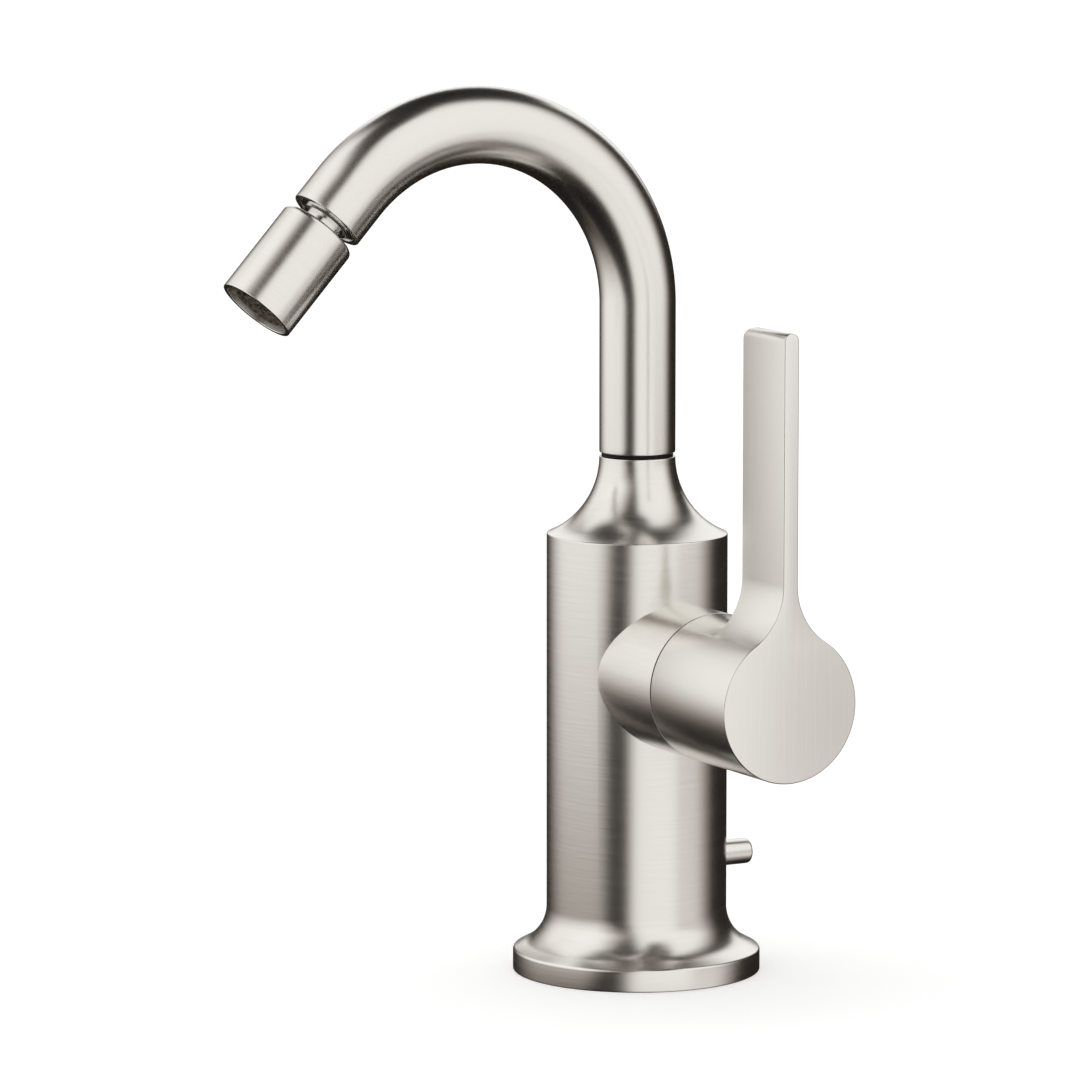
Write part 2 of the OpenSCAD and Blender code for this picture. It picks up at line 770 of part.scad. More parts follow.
// Plate that splits the water into jets
module aerator_diffuser() color(white_plastic) at_outlet(diffuser_s) difference() {
    cylinder(r = cage_r, h = diffuser_t);
    for (i = [0 : jet_count - 1]) rotate([0, 0, i * 360 / jet_count])
        translate([retainer_bore_r - 2 * jet_r, 0, -over]) cylinder(r = jet_r, h = diffuser_t + 2 * over);
}

module aerator_cage() color(black_plastic) at_outlet(cage_s) rotate_extrude() difference() {
    cage_len = cage_end_s - cage_s;
    square([cage_r, cage_len]);
    square([cage_bore_r, cage_len - ledge_h]);
    square([cage_bore_r - ledge_w, cage_len + over]);
}

// One screen: a disc with square openings
module screen() {
    hole_w = screen_pitch - screen_gap;
    reach = floor(screen_r / screen_pitch);
    linear_extrude(screen_t) difference() {
        circle(screen_r);
        for (i = [-reach : reach], j = [-reach : reach])
            if (norm([i, j]) * screen_pitch < screen_r - screen_pitch)
                translate([i * screen_pitch, j * screen_pitch]) square(hole_w, center = true);
    }
}

module aerator_screens() color(steel) {
    at_outlet(cage_end_s - ledge_h - screen_t) screen();
    at_outlet(cage_end_s - ledge_h - 2 * screen_t - seated) rotate([0, 0, 45]) screen();
}

// Lift pieces

module lift_rod() color(brass) difference() {
    translate([0, rod_y, rod_low_z]) cylinder(r = rod_r, h = rod_top_z - rod_low_z);
    translate([0, rod_y, rod_low_z - over]) cylinder(d = link_bore_d, h = link_depth + over);
    translate([0, rod_y, knob_z]) rotate([-90, 0, 0]) cylinder(r = spigot_r + seated, h = rod_r + over);
}

// Knob with a rounded tip, screwed into the rod
module lift_knob() color(nickel) translate([0, rod_y, knob_z]) rotate([-90, 0, 0]) {
    knob_len = knob_tip_y - rod_y;
    face = rod_r + seated;
    cylinder(r = spigot_r, h = face + over);
    rotate_extrude() {
        translate([0, face]) square([knob_r, knob_len - face - knob_edge_r]);
        translate([0, face]) square([knob_r - knob_edge_r, knob_len - face]);
        translate([knob_r - knob_edge_r, knob_len - knob_edge_r]) circle(knob_edge_r);
    }
}

body_casting();
base_gasket();
spout_glide_ring();
spout_stop_screw();
lift_rod_guide();
cartridge_base_seal();
cartridge_base();
cartridge_fixed_disc();
cartridge_housing();
cartridge_nut();
lever_handle();
handle_grub_screw();
cartridge_spindle();
spindle_o_ring();
cartridge_moving_disc();
spout_tube();
spout_shank();
shank_o_rings();
outlet_ball_nipple();
nipple_o_ring();
ball_seat_upper();
ball_seat_lower();
aerator_sleeve();
ball_seat_retainer();
aerator_washer();
aerator_diffuser();
aerator_cage();
aerator_screens();
lift_rod();
lift_knob();
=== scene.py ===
import json
import math

import bmesh
import bpy
from mathutils import Matrix, Vector


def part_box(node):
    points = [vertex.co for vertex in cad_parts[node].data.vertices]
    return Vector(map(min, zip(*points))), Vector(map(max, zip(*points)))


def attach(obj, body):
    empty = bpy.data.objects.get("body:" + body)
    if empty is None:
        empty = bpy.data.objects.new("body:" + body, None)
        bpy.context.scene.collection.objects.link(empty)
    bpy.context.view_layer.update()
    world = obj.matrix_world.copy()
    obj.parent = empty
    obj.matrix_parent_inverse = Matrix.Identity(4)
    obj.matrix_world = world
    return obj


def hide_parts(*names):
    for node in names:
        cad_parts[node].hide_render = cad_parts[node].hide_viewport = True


# Bidet mixer in brushed nickel. Metres: Z is up from the deck, the spout points to -Y, the barrel to +X.
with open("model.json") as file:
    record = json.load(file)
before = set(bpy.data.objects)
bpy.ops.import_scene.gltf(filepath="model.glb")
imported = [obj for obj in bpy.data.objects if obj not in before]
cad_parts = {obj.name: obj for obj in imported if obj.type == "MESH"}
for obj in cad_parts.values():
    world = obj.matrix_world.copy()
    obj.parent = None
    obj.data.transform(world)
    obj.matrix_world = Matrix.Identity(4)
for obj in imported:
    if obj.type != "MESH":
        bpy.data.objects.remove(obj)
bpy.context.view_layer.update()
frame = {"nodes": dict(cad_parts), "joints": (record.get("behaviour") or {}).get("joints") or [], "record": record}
scene = bpy.context.scene

MM = 0.001
SIDES = 256
HALF_SIDES = SIDES // 2
ROUND_STEPS = 5
SHARP_ANGLE = math.radians(32)
MERGE = 0.0005 * MM
OVER = 1 * MM
FIT = 0.05 * MM

# Places and sizes that the frame gives
joints = {joint["name"]: joint for joint in frame["joints"]}
body_low, body_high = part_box("body_casting")
lever_low, lever_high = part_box("lever_handle")
tube_low, tube_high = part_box("spout_tube")
knob_low, knob_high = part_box("lift_knob")
barrel_z = joints["lever_turn"]["pos_m"][2]
barrel_r = (lever_high.y - lever_low.y) / 2
flange_r = (body_high.y - body_low.y) / 2
neck_z = body_high.z
tube_r = tube_high.y
knob_r = (knob_high.x - knob_low.x) / 2
knob_z = (knob_high.z + knob_low.z) / 2
ball_centre = Vector(joints["outlet_tilt"]["pos_m"])

# Sizes of the body that the boxes don't show
COLUMN_R = 20 * MM
FLANGE_RIM_H = 4.8 * MM
FLANGE_FILLET_R = 9.5 * MM
FLANGE_SLOPE = math.radians(28)
FLANGE_EDGE_R = 0.8 * MM
FOOT_EDGE_R = 0.3 * MM
NECK_SWEEP_R = 18.5 * MM
SHOULDER_EDGE_R = 0.35 * MM
NECK_TOP_EDGE_R = 0.2 * MM
SPLIT_EDGE_R = 0.05 * MM
SHANK_R = 6.5 * MM
STUD_BORE_R = 3.4 * MM
STUD_DEPTH = 20 * MM
HOSE_BORE_R = 4.5 * MM
HOSE_DEPTH = 12 * MM
HOSE_X = -9 * MM
HOSE_Y = 6 * MM
WAY_R = 3.5 * MM
WAY_TOP_Z = 60 * MM
GASKET_W = 3.5 * MM
CARTRIDGE_FLANGE = 2.5 * MM
ROD_Y = 12 * MM
SHANK_CLEARANCE = 0.3 * MM
KNOB_CLEARANCE = 0.3 * MM
SLOT_START = 0.37 * MM
LIFT_TRAVEL = joints["lift_pull"]["range_m"][1]

# Sizes of the lever
BLADE_T = 3.6 * MM
BLADE_DEPTH = 17.7 * MM
BLADE_FILLET_R = 15 * MM
BLADE_CORNER_R = 2.8 * MM
LEVER_EDGE_R = 0.35 * MM
HUB_RECESS = 6 * MM
HUB_RECESS_R = 13.95 * MM
SOCKET_W = 7.1 * MM
SOCKET_LEN = 11 * MM
blade_back_x = lever_high.x - BLADE_DEPTH

# Faces of the hub whose normals lean to X by less than this belong to its round side
RIM_LEAN = 0.9

# Sizes of the spout, the outlet and the knob
TUBE_WALL = 1.5 * MM
BEND_R = 40.6 * MM
BEND_ANGLE = math.radians(137.8)
TAIL_LEN = 8 * MM
TUBE_EDGE_R = 0.25 * MM
TUBE_END_S = -9.95 * MM
SLEEVE_R = 8.7 * MM
SLEEVE_WALL = 1 * MM
SLEEVE_TOP_S = -7.35 * MM
SLEEVE_END_S = 15.05 * MM
SLEEVE_RIM_R = 1.1 * MM
SLEEVE_MOUTH_R = 6.68 * MM
SLEEVE_EDGE_R = 0.2 * MM
SOCKET_R = 7.5 * MM
BALL_R = 6.2 * MM
BALL_NECK_R = 4.4 * MM
BALL_BORE_R = 2.8 * MM
COLLAR_R = 5.6 * MM
COLLAR_END_S = -9.45 * MM
COLLAR_GROOVE = 0.22 * MM
NIPPLE_RECESS = 0.3 * MM
NIPPLE_GRIP = 6 * MM
NIPPLE_RING_D = 1.6 * MM
NIPPLE_GROOVE_W = 1.9 * MM
TURNED_EDGE_R = 0.2 * MM
KNOB_EDGE_R = 0.8 * MM

# Steps along the curves
FLANGE_STEPS = 24
NECK_STEPS = 40
SLOT_STEPS = 32
TIP_STEPS = 12
FLAT_STEPS = 6
FILLET_STEPS = 40
HUB_STEPS = 110
HUB_TOP_STEPS = 60
EDGE_FADE_STEPS = 12
BEND_STEPS = 150
BALL_STEPS = 40
SLEEVE_RIM_STEPS = 14
SOCKET_STEPS = 16

# Places in a piece's list of materials
MAIN = 0
BARREL = 1
CUT = 2


# Flat outlines

def arc(centre, radius, start, end, steps):
    """Points along an arc, with its angles in radians."""
    points = []
    for i in range(steps + 1):
        angle = start + (end - start) * i / steps
        points.append((centre[0] + radius * math.cos(angle), centre[1] + radius * math.sin(angle)))
    return points


def soften(points, index, radius):
    """Replaces a corner of an outline by a small curve."""
    corner = Vector(points[index])
    before = (Vector(points[index - 1]) - corner).normalized()
    after = (Vector(points[(index + 1) % len(points)]) - corner).normalized()
    reach = radius / math.tan(before.angle(after) / 2)
    curve = []
    for i in range(ROUND_STEPS + 1):
        t = i / ROUND_STEPS
        curve.append(tuple(corner + before * reach * (1 - t) ** 2 + after * reach * t ** 2))
    return points[:index] + curve + points[index + 1:]


def soften_all(points, radii):
    """Softens several corners, given as {index: radius}, from the last to the first."""
    for index in sorted(radii, reverse=True):
        points = soften(points, index, radii[index])
    return points


# Meshes

def join_rings(bm, first, second, finish):
    """Fills the band between two rings of vertices, where a ring of one vertex is a pole."""
    count = max(len(first), len(second))
    for i in range(count):
        j = (i + 1) % count
        if len(first) == 1:
            corners = (first[0], second[i], second[j])
        elif len(second) == 1:
            corners = (first[i], second[0], first[j])
        else:
            corners = (first[i], second[i], second[j], first[j])
        bm.faces.new(corners).material_index = finish


def lathe(outline, sides=SIDES, finish=MAIN, closed=False):
    """Turns an outline of (radius, height) points about Z."""
    bm = bmesh.new()
    rings = []
    for radius, height in outline:
        if radius == 0:
            rings.append([bm.verts.new((0, 0, height))])
            continue
        ring = []
        for i in range(sides):
            turn = 2 * math.pi * i / sides
            ring.append(bm.verts.new((radius * math.cos(turn), radius * math.sin(turn), height)))
        rings.append(ring)
    for first, second in zip(rings, rings[1:]):
        join_rings(bm, first, second, finish)
    if closed:
        join_rings(bm, rings[-1], rings[0], finish)
    return bm


def shade(mesh):
    """Smooth shading with sharp edges kept."""
    mesh.shade_smooth()
    mesh.set_sharp_from_angle(angle=SHARP_ANGLE)


def make(name, bm, place=None):
    """Turns a bmesh into an object of the scene."""
    bmesh.ops.recalc_face_normals(bm, faces=bm.faces)
    mesh = bpy.data.meshes.new(name)
    bm.to_mesh(mesh)
    bm.free()
    shade(mesh)
    obj = bpy.data.objects.new(name, mesh)
    if place is not None:
        obj.matrix_world = place
    scene.collection.objects.link(obj)
    return obj


def combine(obj, tools, operation):
    """Cuts closed tools out of an object, or adds them to it, in one pass, and removes the tools."""
    group = bpy.data.collections.new("tools")
    for tool in tools:
        group.objects.link(tool)
    step = obj.modifiers.new(operation.lower(), "BOOLEAN")
    step.operation = operation
    step.solver = "EXACT"
    step.operand_type = "COLLECTION"
    step.collection = group
    bpy.context.view_layer.update()
    evaluated = obj.evaluated_get(bpy.context.evaluated_depsgraph_get())
    result = bpy.data.meshes.new_from_object(evaluated)
    obj.modifiers.clear()
    obj.data = result
    shade(result)
    for tool in tools:
        bpy.data.objects.remove(tool)
    bpy.data.collections.remove(group)


def along_x(x, y, z):
    """Turns local Z to world X."""
    return Matrix.Translation((x, y, z)) @ Matrix.Rotation(math.pi / 2, 4, "Y")


def along_y(x, y, z):
    """Turns local Z to world Y."""
    return Matrix.Translation((x, y, z)) @ Matrix.Rotation(-math.pi / 2, 4, "X")


def outlet_place():
    """Local Z runs out of the spout, from the centre of the ball."""
    side = Vector((1, 0, 0))
    rise = Vector(joints["outlet_swing"]["axis"])
    turn = Matrix((side, rise, side.cross(rise))).transposed().to_4x4()
    return Matrix.Translation(ball_centre) @ turn


# Materials

NICKEL_LIGHT = (0.905, 0.885, 0.842, 1)
NICKEL_DARK = (0.875, 0.853, 0.806, 1)
NOISE_DETAIL = 3
NOISE_MIDDLE = (0.3, 0.7)
BRUSH_SPREAD = 0.015
GRAIN_SPREAD = 0.1

# Brush lines, in features per metre
LONG = 45
SHORT = 90
COARSE = 1300
MIDDLE = 1700
FINE = 2600
HAIR = 6000

# Brushed nickel, with one scale for each axis and the height of its lines
BRUSHED = {
    "column": {"scale": (SHORT, SHORT, MIDDLE), "roughness": 0.25, "height": 0.0085 * MM},
    "barrel": {"scale": (COARSE, LONG, LONG), "roughness": 0.24, "height": 0.003 * MM},
    "blade": {"scale": (HAIR, HAIR, LONG), "roughness": 0.24, "height": 0.0003 * MM},
    "satin_nickel": {"scale": (FINE, FINE, FINE), "roughness": 0.24, "height": 0.0001 * MM},
    "turned": {"scale": (LONG, LONG, FINE), "roughness": 0.24, "height": 0.0006 * MM},
}

# Finishes without a direction, with the two tones of their grain, its features per metre and its height
PLAIN = {
    "bright_nickel": {
        "dark": (0.78, 0.765, 0.735, 1),
        "light": (0.84, 0.83, 0.80, 1),
        "roughness": 0.14,
        "grain": 900,
        "height": 0.0004 * MM,
        "metallic": 1,
    },
    "bare_brass": {
        "dark": (0.70, 0.55, 0.28, 1),
        "light": (0.80, 0.66, 0.38, 1),
        "roughness": 0.30,
        "grain": 1200,
        "height": 0.001 * MM,
        "metallic": 1,
    },
    "screw_steel": {
        "dark": (0.55, 0.56, 0.57, 1),
        "light": (0.66, 0.67, 0.68, 1),
        "roughness": 0.28,
        "grain": 1500,
        "height": 0.001 * MM,
        "metallic": 1,
    },
    "seal_rubber": {
        "dark": (0.012, 0.012, 0.012, 1),
        "light": (0.025, 0.025, 0.025, 1),
        "roughness": 0.62,
        "grain": 1400,
        "height": 0.004 * MM,
    },
    "black_plastic": {
        "dark": (0.004, 0.004, 0.004, 1),
        "light": (0.009, 0.009, 0.009, 1),
        "roughness": 0.5,
        "grain": 2200,
        "height": 0.002 * MM,
        "specular": 0.15,
    },
    # Dark aerator plastic, with light brown speckles that are painted glints and a painted reflection of the floor
    # below
    "aerator_with_painted_glints": {
        "dark": (0.002, 0.002, 0.001, 1),
        "light": (0.19, 0.155, 0.115, 1),
        "roughness": 0.4,
        "grain": 1100,
        "height": 0.06 * MM,
    },
    "white_plastic": {
        "dark": (0.78, 0.78, 0.74, 1),
        "light": (0.86, 0.86, 0.83, 1),
        "roughness": 0.42,
        "grain": 1800,
        "height": 0.002 * MM,
    },
    "ceramic": {
        "dark": (0.84, 0.83, 0.79, 1),
        "light": (0.90, 0.89, 0.86, 1),
        "roughness": 0.18,
        "grain": 900,
        "height": 0.0006 * MM,
    },
}

# Nodes whose finish isn't that of their slot
# The aerator cage and screens take the dark plastic with painted glints and a painted floor reflection
NODE_FINISHES = {"aerator_cage": "aerator_with_painted_glints", "aerator_screens": "aerator_with_painted_glints"}


def new_material(name):
    """A material with its node tree and its main shader."""
    material = bpy.data.materials.new(name)
    material.use_nodes = True
    tree = material.node_tree
    return material, tree, tree.nodes["Principled BSDF"]


def noise(tree, scale):
    """Noise in the piece's own space, with one scale for each axis, in features per metre."""
    place = tree.nodes.new("ShaderNodeTexCoord")
    stretch = tree.nodes.new("ShaderNodeMapping")
    stretch.inputs["Scale"].default_value = scale
    grain = tree.nodes.new("ShaderNodeTexNoise")
    grain.inputs["Scale"].default_value = 1
    grain.inputs["Detail"].default_value = NOISE_DETAIL
    tree.links.new(place.outputs["Object"], stretch.inputs["Vector"])
    tree.links.new(stretch.outputs["Vector"], grain.inputs["Vector"])
    return grain.outputs["Fac"]


def ranged(tree, source, low, high):
    """Spreads the middle of a noise over a range."""
    spread = tree.nodes.new("ShaderNodeMapRange")
    spread.inputs["From Min"].default_value = NOISE_MIDDLE[0]
    spread.inputs["From Max"].default_value = NOISE_MIDDLE[1]
    spread.inputs["To Min"].default_value = low
    spread.inputs["To Max"].default_value = high
    tree.links.new(source, spread.inputs["Value"])
    return spread.outputs["Result"]


def tinted(tree, source, dark, light):
    """Mixes two colours by a noise."""
    mix = tree.nodes.new("ShaderNodeMix")
    mix.data_type = "RGBA"
    mix.inputs["A"].default_value = dark
    mix.inputs["B"].default_value = light
    tree.links.new(ranged(tree, source, 0, 1), mix.inputs["Factor"])
    return mix.outputs["Result"]


def bumped(tree, shader, source, height):
    """Raises the surface by a noise, to a height in metres."""
    bump = tree.nodes.new("ShaderNodeBump")
    bump.inputs["Strength"].default_value = 1
    bump.inputs["Distance"].default_value = height
    tree.links.new(source, bump.inputs["Height"])
    tree.links.new(bump.outputs["Normal"], shader.inputs["Normal"])


def brushed_nickel(name, scale, roughness, height):
    """Matt nickel with fine brush lines, which run along the axis with the lowest scale."""
    material, tree, shader = new_material(name)
    lines = noise(tree, scale)
    low = roughness - BRUSH_SPREAD
    high = roughness + BRUSH_SPREAD
    tree.links.new(tinted(tree, lines, NICKEL_DARK, NICKEL_LIGHT), shader.inputs["Base Color"])
    tree.links.new(ranged(tree, lines, low, high), shader.inputs["Roughness"])
    shader.inputs["Metallic"].default_value = 1
    bumped(tree, shader, lines, height)
    return material


def plain(name, dark, light, roughness, grain, height, metallic=0, specular=0.5):
    """A plain finish with a fine grain."""
    material, tree, shader = new_material(name)
    speckle = noise(tree, (grain, grain, grain))
    low = roughness * (1 - GRAIN_SPREAD)
    high = roughness * (1 + GRAIN_SPREAD)
    tree.links.new(tinted(tree, speckle, dark, light), shader.inputs["Base Color"])
    tree.links.new(ranged(tree, speckle, low, high), shader.inputs["Roughness"])
    shader.inputs["Metallic"].default_value = metallic
    shader.inputs["Specular IOR Level"].default_value = specular
    bumped(tree, shader, speckle, height)
    return material


materials = {name: brushed_nickel(name, **finish) for name, finish in BRUSHED.items()}
materials.update({name: plain(name, **finish) for name, finish in PLAIN.items()})


def finish_piece(obj, body, node, slot, *names):
    """Gives a piece its materials and its body, and hides the CAD node it stands for. The slot is not used."""
    obj.data.materials.clear()
    for name in names:
        obj.data.materials.append(materials[name])
    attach(obj, body)
    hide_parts(node)


# Body

def body_outline():
    """Half outline of the casting: foot, flange, column and swept neck."""
    sin_slope = math.sin(FLANGE_SLOPE)
    cos_slope = math.cos(FLANGE_SLOPE)
    fillet_r = COLUMN_R + FLANGE_FILLET_R
    fillet_z = FLANGE_RIM_H + (FLANGE_FILLET_R - (fillet_r - flange_r) * sin_slope) / cos_slope
    edge_z = FLANGE_RIM_H - FLANGE_EDGE_R * (1 - sin_slope) / cos_slope
    sweep_r = tube_r + NECK_SWEEP_R
    sweep_start = math.pi + math.acos((sweep_r - COLUMN_R) / NECK_SWEEP_R)
    top_angle = math.pi / 2 - FLANGE_SLOPE
    outline = [(0, 0), (flange_r, 0)]
    outline += arc((flange_r - FLANGE_EDGE_R, edge_z), FLANGE_EDGE_R, 0, top_angle, ROUND_STEPS)
    outline += arc((fillet_r, fillet_z), FLANGE_FILLET_R, math.pi + top_angle, math.pi, FLANGE_STEPS)
    shoulder = len(outline)
    outline += arc((sweep_r, neck_z), NECK_SWEEP_R, sweep_start, math.pi, NECK_STEPS)
    neck_top = len(outline) - 1
    outline.append((0, neck_z))
    return soften_all(outline, {1: FOOT_EDGE_R, shoulder: SHOULDER_EDGE_R, neck_top: NECK_TOP_EDGE_R})


def stub():
    """The barrel stub, with a softened edge at the split."""
    outline = [(0, 0), (barrel_r, 0), (barrel_r, body_high.x), (0, body_high.x)]
    return lathe(soften(outline, 2, SPLIT_EDGE_R), finish=BARREL)


def slot_cutter(radius, length):
    """A bar along Z with a long round outline, for the slot of the lift knob."""
    outline = arc((0, 0), radius, 0, math.pi, SLOT_STEPS)
    outline += arc((0, -LIFT_TRAVEL), radius, math.pi, 2 * math.pi, SLOT_STEPS)
    bm = bmesh.new()
    rings = []
    for z in (0, length):
        rings.append([bm.verts.new((x, y, z)) for x, y in outline])
    join_rings(bm, rings[0], rings[1], CUT)
    for ring in rings:
        bm.faces.new(ring).material_index = CUT
    return bm


def bore(name, stages, end, place=None):
    """A round cutter of one or more stages, each (start, radius), for holes in bare brass."""
    outline = [(0, stages[0][0])]
    stops = [start for start, radius in stages[1:]] + [end]
    for (start, radius), stop in zip(stages, stops):
        outline += [(radius, start), (radius, stop)]
    outline.append((0, end))
    return make(name, lathe(outline, HALF_SIDES, CUT), place)


def cartridge_pocket():
    """The pocket of the cartridge, with a wider stage for its nut."""
    seal_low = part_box("cartridge_base_seal")[0]
    base_low, base_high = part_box("cartridge_base")
    nut_low, nut_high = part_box("cartridge_nut")
    base_stage = (seal_low.x, (base_high.y - base_low.y) / 2 + FIT)
    nut_stage = (nut_low.x - CARTRIDGE_FLANGE, nut_high.y + FIT)
    return bore("pocket", [base_stage, nut_stage], body_high.x + OVER, along_x(0, 0, barrel_z))


def neck_cutters():
    """The bore of the spout's shank, and that of the stop screw behind it."""
    shank_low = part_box("spout_shank")[0]
    screw_low, screw_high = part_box("spout_stop_screw")
    screw_r = (screw_high.x - screw_low.x) / 2 + FIT
    at_screw = along_y(0, SHANK_R - OVER, (screw_low.z + screw_high.z) / 2)
    return [
        bore("neck_bore", [(shank_low.z - SHANK_CLEARANCE, SHANK_R + FIT)], neck_z + OVER),
        bore("screw_bore", [(0, screw_r)], COLUMN_R, at_screw),
    ]


def foot_cutters():
    """The holes of the fixing stud and the hoses, and the groove of the gasket."""
    gasket_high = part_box("base_gasket")[1]
    outer_r = gasket_high.x + FIT
    inner_r = outer_r - GASKET_W
    groove = [(outer_r, -OVER), (outer_r, gasket_high.z), (inner_r, gasket_high.z), (inner_r, -OVER)]
    hose_stages = [(-OVER, HOSE_BORE_R), (HOSE_DEPTH, WAY_R)]
    cutters = [
        bore("stud_bore", [(-OVER, STUD_BORE_R)], STUD_DEPTH),
        make("gasket_groove", lathe(groove, finish=CUT, closed=True)),
    ]
    for side in (-1, 1):
        at_hose = Matrix.Translation((HOSE_X, side * HOSE_Y, 0))
        cutters.append(bore("hose_bore", hose_stages, WAY_TOP_Z, at_hose))
    return cutters


def lift_cutters():
    """The bore of the lift rod and its guide, and the slot that the knob rises in."""
    guide_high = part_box("lift_rod_guide")[1]
    rod_low, rod_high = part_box("lift_rod")
    rod_r = (rod_high.x - rod_low.x) / 2 + FIT
    rod_top = rod_high.z + LIFT_TRAVEL + OVER
    stages = [(-OVER, guide_high.x + FIT), (guide_high.z, rod_r)]
    slot = slot_cutter(knob_r + KNOB_CLEARANCE, COLUMN_R)
    return [
        bore("rod_bore", stages, rod_top, Matrix.Translation((0, ROD_Y, 0))),
        make("knob_slot", slot, along_y(0, ROD_Y + SLOT_START, knob_z)),
    ]


def build_body():
    """The casting: a turned column with the barrel stub, and everything that is cut out of them."""
    body = make("body", lathe(body_outline()))
    combine(body, [make("stub", stub(), along_x(0, 0, barrel_z))], "UNION")
    cutters = [cartridge_pocket()] + neck_cutters() + foot_cutters() + lift_cutters()
    combine(body, cutters, "DIFFERENCE")
    finish_piece(body, "mixer_body", "body_casting", "satin_nickel", "column", "barrel", "bare_brass")


# Lever

def lever_outline(length):
    """Right half of the lever seen along the barrel, as (y, z, normal y, normal z) from tip to foot."""
    half = BLADE_T / 2
    tip_z = length - half
    fillet_y = half + BLADE_FILLET_R
    fillet_z = math.sqrt((barrel_r + BLADE_FILLET_R) ** 2 - fillet_y ** 2)
    hub_angle = math.atan2(fillet_z, fillet_y)
    corner_z = length - BLADE_CORNER_R
    points = []
    for y, z in arc((0, tip_z), half, math.pi / 2, 0, TIP_STEPS):
        points.append((y, z, y / half, (z - tip_z) / half))
    for i in range(1, FLAT_STEPS + 1):
        points.append((half, tip_z + (corner_z - tip_z) * i / FLAT_STEPS, 1, 0))
    flat = len(points) - 1
    for y, z in arc((fillet_y, fillet_z), BLADE_FILLET_R, math.pi, math.pi + hub_angle, FILLET_STEPS):
        points.append((y, z, (fillet_y - y) / BLADE_FILLET_R, (fillet_z - z) / BLADE_FILLET_R))
    joint = len(points) - 1
    for y, z in arc((0, 0), barrel_r, hub_angle, -math.pi / 2, HUB_STEPS)[1:]:
        points.append((y, z, y / barrel_r, z / barrel_r))
    return points, flat, joint, hub_angle


def edge_places(point, side, edge, face_x, inward):
    """One point of the outline carried over a softened edge, from the side to the face, as (x, y, z)."""
    y, z, ny, nz = point
    places = []
    for i in range(ROUND_STEPS + 1):
        angle = math.pi / 2 * i / ROUND_STEPS
        inset = edge * (1 - math.cos(angle))
        x = face_x + inward * edge * (1 - math.sin(angle))
        places.append((x, side * (y - ny * inset), z - nz * inset))
    return places


def hub_back(point, side):
    """The recess and the back edge of the hub behind one point of its rim, as (x, y, z)."""
    y, z, ny, nz = point
    recess = (side * ny * HUB_RECESS_R, nz * HUB_RECESS_R)
    places = [(lever_low.x + HUB_RECESS, *recess), (lever_low.x, *recess)]
    return places + edge_places(point, side, SPLIT_EDGE_R, lever_low.x, 1)[::-1]


def build_columns(bm, columns):
    """Fills the bands between neighbouring columns of points and returns their vertices."""
    made = [[bm.verts.new(place) for place in column] for column in columns]
    for first, second in zip(made, made[1:]):
        for i in range(len(first) - 1):
            bm.faces.new((first[i], first[i + 1], second[i + 1], second[i]))
    return made


def lever_side(bm, points, flat, joint, side):
    """Skins one side of the lever, and returns the columns of its blade and those of its hub."""
    corner_z = points[flat][1]
    blade = []
    hub = []
    for i, point in enumerate(points):
        front = edge_places(point, side, LEVER_EDGE_R, lever_high.x, -1)
        if i <= joint:
            rise = max(0, point[1] - corner_z)
            drop = BLADE_CORNER_R - math.sqrt(max(0, BLADE_CORNER_R ** 2 - rise ** 2))
            edge = LEVER_EDGE_R * min(1, (joint - i) / EDGE_FADE_STEPS)
            blade.append(edge_places(point, side, edge, blade_back_x + drop, 1)[::-1] + front)
        if i >= joint:
            waist = (blade_back_x, side * point[0], point[1])
            hub.append(hub_back(point, side) + [waist] + front)
    return build_columns(bm, blade), build_columns(bm, hub)


def hub_top(bm, hub_angle):
    """Skins the hub behind the blade and returns its columns."""
    columns = []
    for y, z in arc((0, 0), barrel_r, hub_angle, math.pi - hub_angle, HUB_TOP_STEPS):
        point = (y, z, y / barrel_r, z / barrel_r)
        columns.append(hub_back(point, 1) + [(blade_back_x, y, z)])
    return build_columns(bm, columns)


def bridge(bm, right, left, row):
    """Fills the face between one row of the right side and the same row of the left side."""
    for i in range(len(right) - 1):
        bm.faces.new((right[i][row], right[i + 1][row], left[i + 1][row], left[i][row]))


def lever_mesh():
    """Hub and blade in one skin, with the barrel axis along X through the origin."""
    points, flat, joint, hub_angle = lever_outline(lever_high.z - barrel_z)
    bm = bmesh.new()
    right_blade, right_hub = lever_side(bm, points, flat, joint, 1)
    left_blade, left_hub = lever_side(bm, points, flat, joint, -1)
    top = hub_top(bm, hub_angle)
    bridge(bm, right_blade, left_blade, -1)
    bridge(bm, right_hub, left_hub, -1)
    bridge(bm, right_blade[:flat + 1], left_blade[:flat + 1], 0)
    web = [column[0] for column in right_blade[flat:joint]]
    web += [column[-1] for column in top]
    web += [column[0] for column in reversed(left_blade[flat:joint])]
    bm.faces.new(web)
    floor = [column[0] for column in right_hub[:-1]]
    floor += [column[0] for column in reversed(left_hub)]
    floor += [column[0] for column in reversed(top[1:-1])]
    bm.faces.new(floor)
    bmesh.ops.remove_doubles(bm, verts=bm.verts, dist=MERGE)
    bmesh.ops.dissolve_degenerate(bm, dist=MERGE, edges=bm.edges)
    return bm


def box_mesh(low, high):
    """A closed box between two corners, used for a socket."""
    bm = bmesh.new()
    size = Vector(high) - Vector(low)
    middle = (Vector(high) + Vector(low)) / 2
    bmesh.ops.create_cube(bm, size=1, matrix=Matrix.Translation(middle) @ Matrix.Diagonal((*size, 1)))
    return bm


def paint_lever(obj):
    """Gives the round side of the hub its own brush lines, and leaves the rest to the blade's."""
    for face in obj.data.polygons:
        reach = math.hypot(face.center.y, face.center.z)
        on_rim = abs(face.normal.x) < RIM_LEAN and abs(reach - barrel_r) < LEVER_EDGE_R
        face.material_index = BARREL if on_rim else MAIN


